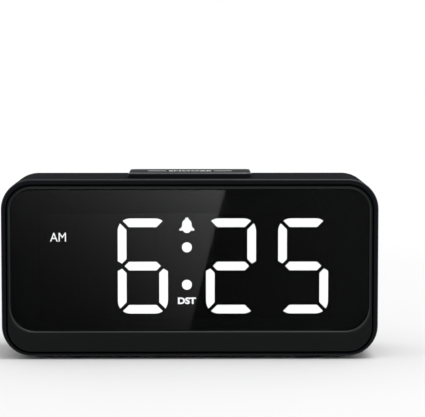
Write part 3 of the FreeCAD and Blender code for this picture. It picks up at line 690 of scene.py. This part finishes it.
def bevel(
    shape: bmesh.types.BMesh, geometry: Sequence[bmesh.types.BMEdge | bmesh.types.BMVert], radius: float,
    segments: int, rounding: Rounding = Rounding.EDGES,
) -> None:
    """Rounds edges of a shape, or corners of a flat one.

    Args:
        shape: The shape.
        geometry: Its edges or vertices to round.
        radius: Radius of the rounding.
        segments: Number of steps across it.
        rounding: Whether they are edges or corners.
    """
    bmesh.ops.bevel(
        shape, geom=geometry, offset=radius, offset_type="OFFSET", affect=rounding.value, segments=segments,
        profile=0.5, material=-1, clamp_overlap=True,
    )


def thicken(shape: bmesh.types.BMesh, move: Vector) -> None:
    """Draws a flat shape out to a solid.

    Args:
        shape: The shape.
        move: From its face to the other face.
    """
    grown = bmesh.ops.extrude_face_region(shape, geom=shape.faces[:])
    moved = [item for item in grown["geom"] if isinstance(item, bmesh.types.BMVert)]
    bmesh.ops.translate(shape, verts=moved, vec=move)


def shade_by_angle(target: bpy.types.Object, limit: float = 30.0) -> None:
    """Shades a piece smooth, apart from its sharp edges.

    Args:
        target: The piece.
        limit: Turn in degrees past which an edge is sharp.
    """
    mesh = target.data
    mesh.polygons.foreach_set("use_smooth", [True] * len(mesh.polygons))
    mesh.set_sharp_from_angle(angle=math.radians(limit))


# Signs


@dataclass
class Sign:
    """A flat word or figure with a small thickness, made to a width and a height.

    Attributes:
        name: The piece's name.
        centre: Middle of its outer face.
        size: Its width and height.
        face: The side that it lies on.
        thickness: How far it goes back from its outer face.
    """

    name: str
    centre: Vector
    size: Pair
    face: Face
    thickness: float = 0.05 * MM

    def outline(self) -> bpy.types.Curve:
        """Returns the flat outline as a curve, at any size."""
        raise NotImplementedError

    def shape(self) -> bmesh.types.BMesh:
        """Makes the sign's solid.

        Returns:
            The new shape, in its place on the clock.
        """
        curve = self.outline()
        holder = bpy.data.objects.new(self.name + "_outline", curve)
        bpy.context.scene.collection.objects.link(holder)
        bpy.context.view_layer.update()
        flat = bpy.data.meshes.new_from_object(holder.evaluated_get(bpy.context.evaluated_depsgraph_get()))
        bpy.data.objects.remove(holder)
        bpy.data.curves.remove(curve)
        shape = bmesh.new()
        shape.from_mesh(flat)
        bpy.data.meshes.remove(flat)
        bmesh.ops.remove_doubles(shape, verts=shape.verts, dist=WELD)
        self.fit(shape)
        thicken(shape, Vector((0.0, 0.0, -self.thickness)))
        bmesh.ops.transform(shape, matrix=Matrix.Translation(self.centre) @ self.face.turn(), verts=shape.verts)
        return shape

    def fit(self, shape: bmesh.types.BMesh) -> None:
        """Centres the flat shape and brings it to its width and height.

        Args:
            shape: The flat shape, which lies in the XY plane.
        """
        across = [vert.co.x for vert in shape.verts]
        up = [vert.co.y for vert in shape.verts]
        middle = Vector(((min(across) + max(across)) / 2, (min(up) + max(up)) / 2, 0.0))
        bmesh.ops.translate(shape, verts=shape.verts, vec=-middle)
        width, height = self.size
        factors = (width / (max(across) - min(across)), height / (max(up) - min(up)), 1.0)
        bmesh.ops.scale(shape, vec=factors, verts=shape.verts)

    def build(self, finish: Finish, body: str, slot: str) -> None:
        """Makes the sign's piece, as piece() says."""
        piece(self.name, self.shape(), finish, body)


@dataclass
class Word(Sign):
    """A word in plain capitals.

    Attributes:
        text: The word.
        weight: How far its strokes are fattened, as a share of the letters' size.
    """

    text: str = ""
    weight: float = 0.0

    def outline(self) -> bpy.types.Curve:
        """Writes the word.

        Returns:
            A text curve.
        """
        curve = bpy.data.curves.new(self.name, "FONT")
        curve.body = self.text
        curve.offset = self.weight
        curve.resolution_u = CURVE_STEPS
        return curve


@dataclass
class Bell(Sign):
    """A hand bell with its clapper, for the alarm."""

    def outline(self) -> bpy.types.Curve:
        """Draws half a bell's profile and its mirror image.

        Returns:
            A curve of one closed spline.
        """
        curve = bpy.data.curves.new(self.name, "CURVE")
        curve.dimensions = "2D"
        curve.fill_mode = "BOTH"
        curve.resolution_u = CURVE_STEPS
        knob = ((0.0, 1.0), (0.18, 0.94), (0.27, 0.72))
        body = ((0.5, 0.56), (0.62, 0.28), (0.66, -0.1), (0.8, -0.34))
        brim = ((0.99, -0.5), (0.99, -0.64), (0.86, -0.7), (0.52, -0.7))
        clapper = ((0.44, -0.82), (0.25, -0.95), (0.0, -1.0))
        right = knob + body + brim + clapper
        left = tuple((-x, y) for x, y in reversed(right[1:-1]))
        spline = curve.splines.new("BEZIER")
        spline.bezier_points.add(len(right + left) - 1)
        spline.use_cyclic_u = True
        for point, (x, y) in zip(spline.bezier_points, right + left):
            point.co = (x, y, 0.0)
            point.handle_left_type = "AUTO"
            point.handle_right_type = "AUTO"
        return curve


@dataclass
class Dash(Sign):
    """A plain straight line with square ends."""

    def outline(self) -> bpy.types.Curve:
        """Draws the line as a square, which is brought to its size later.

        Returns:
            A curve of one closed spline.
        """
        curve = bpy.data.curves.new(self.name, "CURVE")
        curve.dimensions = "2D"
        curve.fill_mode = "BOTH"
        spline = curve.splines.new("POLY")
        spline.points.add(3)
        spline.use_cyclic_u = True
        for point, (x, y) in zip(spline.points, ((-1, -1), (1, -1), (1, 1), (-1, 1))):
            point.co = (x, y, 0.0, 1.0)
        return curve


# Sub-assemblies


@dataclass
class Casing:
    """Sleeve housing, back cover, feet and the screws that close them."""

    def build(self) -> None:
        """Dresses the shells, the feet and the screws."""
        dress(CASE_BLACK, "housing", "rear_cover")
        dress(FOOT_RUBBER, "rubber_feet")
        dress(SCREW_BLACK, "cover_screws")


@dataclass
class Screen:
    """Front frame, the tinted screen in it and the black print on the screen's back.

    Attributes:
        print_gap: From the back of the screen to the print.
        print_depth: Thickness of the print.
        print_inset: From the edge of the screen to the edge of the print.
        print_corner: Radius of the print's outer corners.
        window_inset: From the outside of the reflector to the window in the print.
        window_corner: Radius of the window's corners.
        corner_steps: Number of steps round each corner.
    """

    print_gap: float = 0.02 * MM
    print_depth: float = 0.04 * MM
    print_inset: float = 0.3 * MM
    print_corner: float = 4.6 * MM
    window_inset: float = 0.35 * MM
    window_corner: float = 1.0 * MM
    corner_steps: int = 12

    def build(self) -> None:
        """Dresses the frame and the screen and makes the print."""
        dress(FRAME_BLACK, "front_frame")
        dress(SCREEN, "display_lens")
        shape = bmesh.new()
        self.add_outline(shape, "display_lens", self.print_inset, self.print_corner)
        self.add_outline(shape, "led_reflector", self.window_inset, self.window_corner)
        bmesh.ops.bridge_loops(shape, edges=shape.edges[:])
        thicken(shape, Vector((0.0, self.print_depth, 0.0)))
        piece("screen_print", shape, PRINT_BLACK, "case")

    def add_outline(self, shape: bmesh.types.BMesh, node: str, inset: float, radius: float) -> None:
        """Adds an outline of the print, a loop of edges with round corners inside a node's box.

        Args:
            shape: The print, which has no faces yet.
            node: The node's name.
            inset: From the box to the outline.
            radius: Radius of its corners.
        """
        low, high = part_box(node)
        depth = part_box("display_lens")[1].y + self.print_gap
        left, right = low.x + inset, high.x - inset
        bottom, top = low.z + inset, high.z - inset
        places = ((left, bottom), (right, bottom), (right, top), (left, top))
        corners = [shape.verts.new((x, depth, z)) for x, z in places]
        shape.faces.new(corners)
        bevel(shape, corners, radius, self.corner_steps, Rounding.CORNERS)
        bmesh.ops.delete(shape, geom=shape.faces[:], context="FACES_ONLY")


@dataclass
class Display:
    """Reflector, light pipes and the signs beside the figures.

    Attributes:
        sign_gap: From the back of the screen to the face of a sign.
        am_centre: Middle of the morning sign, across and up.
        am_size: Its width and height.
        bell_centre: Middle of the alarm's bell.
        bell_size: Its width and height.
        dst_centre: Middle of the summer-time sign.
        dst_size: Its width and height.
        dst_weight: How far its strokes are fattened.
    """

    sign_gap: float = 0.08 * MM
    am_centre: Pair = (-31.53 * MM, 29.25 * MM)
    am_size: Pair = (3.8 * MM, 2.12 * MM)
    bell_centre: Pair = (-0.72 * MM, 32.08 * MM)
    bell_size: Pair = (3.59 * MM, 3.71 * MM)
    dst_centre: Pair = (-0.72 * MM, 13.9 * MM)
    dst_size: Pair = (4.34 * MM, 1.62 * MM)
    dst_weight: float = 0.04

    def place(self, centre: Pair) -> Vector:
        """Returns a point just behind the screen, given across and up."""
        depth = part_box("display_lens")[1].y + self.sign_gap
        return Vector((centre[0], depth, centre[1]))

    def build(self) -> None:
        """Dresses the display and makes its signs."""
        dress(REFLECTOR_BLACK, "led_reflector")
        dress(SEGMENT_GLOW, "lit_segments")
        dress(RESIN_DARK, "unlit_segments", "indicator_windows")
        dress(LAMP_WHITE, "segment_leds")
        signs = (
            Word("am_sign", self.place(self.am_centre), self.am_size, Face.FRONT, text="AM"),
            Bell("alarm_sign", self.place(self.bell_centre), self.bell_size, Face.FRONT),
            Word(
                "dst_sign", self.place(self.dst_centre), self.dst_size, Face.FRONT, text="DST", weight=self.dst_weight
            ),
        )
        for sign in signs:
            sign.build(SIGN_GLOW, "case", "light_pipe_lit")


@dataclass
class SnoozeBar:
    """Long push bar in the top of the housing, hollow underneath, with a printed word.

    Attributes:
        end_reach: From the end of the bar to the end of its flange.
        flange: Thickness of the end flanges.
        corner: Radius of its standing edges.
        corner_steps: Number of steps round one.
        edge: Radius round its top.
        edge_steps: Number of steps round it.
        wall: Thickness of its top and sides.
        rib: Thickness of the ribs under it.
        rib_offset: From the middle to a rib.
        ink: Thickness of the print.
        word_size: Width and height of the word.
        word_weight: How far its strokes are fattened.
        dash_size: Width and height of the line on each side of it.
        dash_offset: From the middle of the bar to the middle of a line.
    """

    end_reach: float = 1.4 * MM
    flange: float = 1.0 * MM
    corner: float = 1.6 * MM
    corner_steps: int = 8
    edge: float = 0.26 * MM
    edge_steps: int = 5
    wall: float = 1.3 * MM
    rib: float = 1.0 * MM
    rib_offset: float = 8.0 * MM
    ink: float = 0.01 * MM
    word_size: Pair = (10.4 * MM, 3.0 * MM)
    word_weight: float = 0.03
    dash_size: Pair = (4.4 * MM, 0.9 * MM)
    dash_offset: float = 8.0 * MM

    def shell(self) -> bmesh.types.BMesh:
        """Makes the hollow bar with its flanges and ribs.

        Returns:
            The new shape, in its place.
        """
        low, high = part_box("snooze_bar")
        half = high.x - self.end_reach
        top = high.z - self.ink
        shape = bmesh.new()
        add_box(shape, (-half, low.y, low.z), (half, high.y, top))
        standing = [edge for edge in shape.edges if abs(edge.verts[0].co.z - edge.verts[1].co.z) > self.flange]
        bevel(shape, standing, self.corner, self.corner_steps)
        upper = [edge for edge in shape.edges if min(vert.co.z for vert in edge.verts) > top - self.edge]
        bevel(shape, upper, self.edge, self.edge_steps)
        under = min(shape.faces, key=lambda face: face.calc_center_median().z)
        bmesh.ops.delete(shape, geom=[under], context="FACES_ONLY")
        bmesh.ops.solidify(shape, geom=shape.faces[:], thickness=self.wall)
        roof = top - self.wall
        back = high.y - self.wall
        front = low.y + self.wall
        for side in (-1, 1):
            ends = sorted((side * (half - self.wall / 2), side * high.x))
            add_box(shape, (ends[0], low.y + self.corner, low.z), (ends[1], high.y - self.corner, low.z + self.flange))
            middle = side * self.rib_offset
            add_box(shape, (middle - self.rib / 2, front, low.z + self.flange), (middle + self.rib / 2, back, roof))
        return shape

    def build(self) -> None:
        """Makes the bar and its print, and dresses its switch."""
        bar = piece("snooze_cap", self.shell(), BAR_BLACK, "snooze")
        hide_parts("snooze_bar")
        shade_by_angle(bar)
        low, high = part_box("snooze_bar")
        centre = Vector((0.0, (low.y + high.y) / 2, high.z))
        aside = Vector((self.dash_offset, 0.0, 0.0))
        prints = (
            Word("snooze_word", centre, self.word_size, Face.TOP, self.ink, "SNOOZE", self.word_weight),
            Dash("snooze_line_left", centre - aside, self.dash_size, Face.TOP, self.ink),
            Dash("snooze_line_right", centre + aside, self.dash_size, Face.TOP, self.ink),
        )
        for mark in prints:
            mark.build(INK_WHITE, "snooze", "case_black")
        dress(SWITCH_GREY, "snooze_switch")
        dress(NYLON_BLACK, "snooze_plunger")


@dataclass
class BackControls:
    """Buttons, alarm slider, power inlet and their printed words.

    Attributes:
        names: The buttons, with the word under each.
        word_height: Height of the letters.
        word_drop: From the middle of a button down to the middle of its word.
        ink: Thickness of the print.
        letter_width: Width that one letter takes.
        switch_shift: From the middle of the slider at rest to the middle of its slot.
        switch_word_reach: From the middle of the slot to the middle of a word beside it.
    """

    names: dict[str, str] = field(
        default_factory=lambda: {"time": "TIME", "alarm": "ALARM", "hour": "HOUR", "minute": "MIN", "dst": "DST"}
    )
    word_height: float = 1.5 * MM
    word_drop: float = 4.5 * MM
    ink: float = 0.02 * MM
    letter_width: float = 1.2 * MM
    switch_shift: float = -1.0 * MM
    switch_word_reach: float = 5.2 * MM

    def build(self) -> None:
        """Dresses the controls and makes the words beside them."""
        dress(BUTTON_BLACK, *(name + "_button" for name in self.names), "alarm_slider")
        dress(NYLON_BLACK, *(name + "_plunger" for name in self.names))
        dress(SWITCH_GREY, "button_switches", "slide_switch")
        dress(NYLON_BLACK, "power_inlet")
        dress(NICKEL, "inlet_pin")
        for name, text in self.names.items():
            low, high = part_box(name + "_button")
            self.print_word(name + "_word", text, (low.x + high.x) / 2, (low.z + high.z) / 2 - self.word_drop)
        low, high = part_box("alarm_slider")
        for text, side in (("ON", 1), ("OFF", -1)):
            across = (low.x + high.x) / 2 + self.switch_shift + side * self.switch_word_reach
            self.print_word(text.lower() + "_word", text, across, (low.z + high.z) / 2)

    def print_word(self, name: str, text: str, across: float, up: float) -> None:
        """Prints a small word on the back cover.

        Args:
            name: The piece's name.
            text: The word.
            across: Its middle along X.
            up: Its middle along Z.
        """
        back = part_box("rear_cover")[1].y
        centre = Vector((across, back + self.ink, up))
        size = (self.letter_width * len(text), self.word_height)
        Word(name, centre, size, Face.BACK, self.ink, text).build(INK_WHITE, "case", "case_black")


@dataclass
class Electronics:
    """Boards and what is soldered to them."""

    def build(self) -> None:
        """Dresses the boards, the header and the small parts."""
        dress(BOARD_GREEN, "display_board", "main_board")
        dress(NYLON_BLACK, "header_socket")
        dress(TIN, "pin_header", "crystal")
        dress(EPOXY_BLACK, "clock_chip", "buzzer")
        dress(SLEEVE_BLUE, "capacitor")
        dress(CERAMIC, "resistors")
        dress(SCREW_BLACK, "display_screws", "board_screws")


@dataclass
class BackupCell:
    """Coin cell in its holder, behind the battery door."""

    def build(self) -> None:
        """Dresses the holder, the cell, its contacts and the door."""
        dress(NYLON_BLACK, "cell_holder")
        dress(CELL_STEEL, "coin_cell")
        dress(NICKEL, "cell_contacts")
        dress(CASE_BLACK, "battery_door")
        dress(SCREW_BLACK, "door_screw")


# Studio


@dataclass
class Floor:
    """Round pale floor that keeps the clock's shadow and is plain white away from it.

    Attributes:
        radius: Its radius.
        sides: Number of its straight sides.
        low: Its colour where a faint cloud is dark.
        high: Its colour where the cloud is light.
        cloud: Width of one cloud.
        fade_start: Where it starts to turn plain white, from the origin.
        fade_end: Where it is plain white.
    """

    radius: float = 8.0
    sides: int = 96
    low: Colour = (0.91, 0.91, 0.91)
    high: Colour = (0.93, 0.93, 0.93)
    cloud: float = 0.05
    fade_start: float = 0.1
    fade_end: float = 0.3

    def build(self) -> None:
        """Makes the floor."""
        board = Board("studio_floor")
        shader = board.shader
        shader.inputs["Specular IOR Level"].default_value = 0.0
        shader.inputs["Roughness"].default_value = 1.0
        board.link(board.tint(board.noise(self.cloud), self.low, self.high), shader.inputs["Base Color"])
        fade = board.add("ShaderNodeMapRange", interpolation_type="SMOOTHSTEP")
        fade.inputs["From Min"].default_value = self.fade_start
        fade.inputs["From Max"].default_value = self.fade_end
        board.link(board.vector("LENGTH", board.place()), fade.inputs["Value"])
        seen = board.ray("Is Camera Ray", "Is Glossy Ray", "Is Transmission Ray")
        white = board.add("ShaderNodeEmission")
        mix = board.add("ShaderNodeMixShader")
        board.link(board.math("MULTIPLY", fade.outputs["Result"], seen), mix.inputs["Fac"])
        board.link(shader.outputs["BSDF"], mix.inputs[1])
        board.link(white.outputs["Emission"], mix.inputs[2])
        board.link(mix.outputs["Shader"], board.output.inputs["Surface"])
        shape = bmesh.new()
        bmesh.ops.create_circle(shape, cap_ends=True, segments=self.sides, radius=self.radius)
        make_object("floor", shape, board.material)


@dataclass
class ReflectionCard:
    """Dark card with a graded white half before the clock, seen only in its reflections.

    The white half ends in a straight slanting edge. Its light grows with the distance from the screen and
    falls off to the left.

    Attributes:
        height: From the floor up to the card.
        start: From the screen to the card.
        reach: Depth of the card.
        width: Width of the card.
        middle: Middle of the card along X.
        edge_place: Where the slanting edge would meet the screen, along X.
        edge_lean: How far the edge goes to the right for each metre away from the screen.
        light: Strength of the white half, as it would be at the screen.
        light_gain: What its strength gains for each metre away.
        fall_width: Distance to the left of the edge in which its light falls off, as at the screen.
        fall_gain: What that distance gains for each metre away.
        fall_power: Power with which it falls off.
        left_light: Strength that is left on the white half everywhere.
        base_light: Strength of the dark half at X = 0, which lies under the white half too.
        base_gain: What that strength gains for each metre to the right.
    """

    height: float = 0.5 * MM
    start: float = 45.0 * MM
    reach: float = 0.62
    width: float = 0.6
    middle: float = -0.1
    edge_place: float = -1.8 * MM
    edge_lean: float = 0.0338
    light: float = 0.115
    light_gain: float = 3.94
    fall_width: float = 38.4 * MM
    fall_gain: float = 0.476
    fall_power: float = 4.25
    left_light: float = 0.035
    base_light: float = 0.04
    base_gain: float = 2.0

    def build(self) -> None:
        """Lays the card and hides it from all but reflections."""
        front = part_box("display_lens")[0].y
        shape = bmesh.new()
        bmesh.ops.create_grid(shape, x_segments=1, y_segments=1, size=0.5)
        bmesh.ops.scale(shape, vec=(self.width, self.reach, 1.0), verts=shape.verts)
        centre = (self.middle, front - self.start - self.reach / 2, self.height)
        bmesh.ops.translate(shape, vec=centre, verts=shape.verts)
        card = make_object("reflection_card", shape, self.material(front))
        card.visible_camera = False
        card.visible_diffuse = False
        card.visible_shadow = False
        card.visible_transmission = False

    def material(self, front: float) -> bpy.types.Material:
        """Lays out the card's light.

        Args:
            front: Where the screen's face is along Y.

        Returns:
            The new material.
        """
        board = Board("reflection_card")
        split = board.add("ShaderNodeSeparateXYZ")
        board.link(board.place(), split.inputs["Vector"])
        away = board.math("SUBTRACT", front, split.outputs["Y"])
        edge = board.math("MULTIPLY_ADD", away, self.edge_lean, self.edge_place)
        left = board.math("SUBTRACT", edge, split.outputs["X"])
        strength = board.math("MULTIPLY_ADD", away, self.light_gain, self.light)
        width = board.math("MULTIPLY_ADD", away, self.fall_gain, self.fall_width)
        rest = board.math("SUBTRACT", 1.0, board.math("DIVIDE", left, width))
        fall = board.math("POWER", board.math("MAXIMUM", rest, 0.0), self.fall_power)
        lit = board.math("ADD", board.math("MULTIPLY", fall, strength), self.left_light)
        white = board.math("MULTIPLY", lit, board.math("GREATER_THAN", left, 0.0))
        right = board.math("MAXIMUM", split.outputs["X"], 0.0)
        base = board.math("MULTIPLY_ADD", right, self.base_gain, self.base_light)
        light = board.add("ShaderNodeEmission")
        board.link(board.math("ADD", white, base), light.inputs["Strength"])
        board.link(light.outputs["Emission"], board.output.inputs["Surface"])
        return board.material


@dataclass
class Studio:
    """Floor, reflection card, soft lamp, white surroundings and camera.

    Attributes:
        lamp_place: Where the overhead lamp hangs.
        lamp_size: Its side.
        lamp_power: Its power in watts.
        ambient: Light from all round that falls on diffuse surfaces.
        camera_place: Where the camera stands.
        camera_turn: Its tilt below the horizon and its heading, in radians.
        camera_lens: Its focal length in millimetres.
        camera_reach: How far it sees.
    """

    lamp_place: Vector = field(default_factory=lambda: Vector((0.25, -0.15, 1.0)))
    lamp_size: float = 0.6
    lamp_power: float = 4.5
    ambient: float = 0.7
    camera_place: Vector = field(default_factory=lambda: Vector((1.15, -479.3, 74.42)) * MM)
    camera_turn: Pair = (0.0818, -0.0091)
    camera_lens: float = 166.32
    camera_reach: float = 50.0

    def build(self) -> None:
        """Builds the studio."""
        Floor().build()
        ReflectionCard().build()
        self.lamp()
        self.world()
        self.camera()

    def lamp(self) -> None:
        """Hangs the large soft lamp overhead."""
        data = bpy.data.lights.new("overhead_lamp", "AREA")
        data.size = self.lamp_size
        data.energy = self.lamp_power
        lamp = bpy.data.objects.new("overhead_lamp", data)
        lamp.location = self.lamp_place
        lamp.rotation_euler = self.lamp_place.to_track_quat("Z", "Y").to_euler()
        bpy.context.scene.collection.objects.link(lamp)

    def world(self) -> None:
        """Surrounds the scene with plain white, which lights diffuse surfaces only softly."""
        world = bpy.data.worlds.new("studio_world")
        world.use_nodes = True
        tree = world.node_tree
        background = tree.nodes["Background"]
        background.inputs["Color"].default_value = (1.0, 1.0, 1.0, 1.0)
        path = tree.nodes.new("ShaderNodeLightPath")
        seen = path.outputs["Is Camera Ray"]
        for kind in ("Is Glossy Ray", "Is Transmission Ray"):
            either = tree.nodes.new("ShaderNodeMath")
            either.operation = "MAXIMUM"
            tree.links.new(seen, either.inputs[0])
            tree.links.new(path.outputs[kind], either.inputs[1])
            seen = either.outputs["Value"]
        level = tree.nodes.new("ShaderNodeMapRange")
        level.inputs["To Min"].default_value = self.ambient
        level.inputs["To Max"].default_value = 1.0
        tree.links.new(seen, level.inputs["Value"])
        tree.links.new(level.outputs["Result"], background.inputs["Strength"])
        bpy.context.scene.world = world

    def camera(self) -> None:
        """Sets up the camera."""
        data = bpy.data.cameras.new("camera")
        data.lens = self.camera_lens
        data.clip_end = self.camera_reach
        camera = bpy.data.objects.new("camera", data)
        tilt, heading = self.camera_turn
        camera.location = self.camera_place
        camera.rotation_euler = (math.pi / 2 - tilt, 0.0, heading)
        bpy.context.scene.collection.objects.link(camera)
        bpy.context.scene.camera = camera


def main() -> None:
    """Dresses the clock, builds its signs and sets up the studio."""
    logging.basicConfig(level=logging.INFO, format="%(name)s: %(message)s")
    bpy.context.scene.view_settings.view_transform = "Standard"
    parts = (Casing(), Screen(), Display(), SnoozeBar(), BackControls(), Electronics(), BackupCell(), Studio())
    for part in parts:
        part.build()
        log.info("built %s", type(part).__name__)


if __name__ == "__main__":
    main()
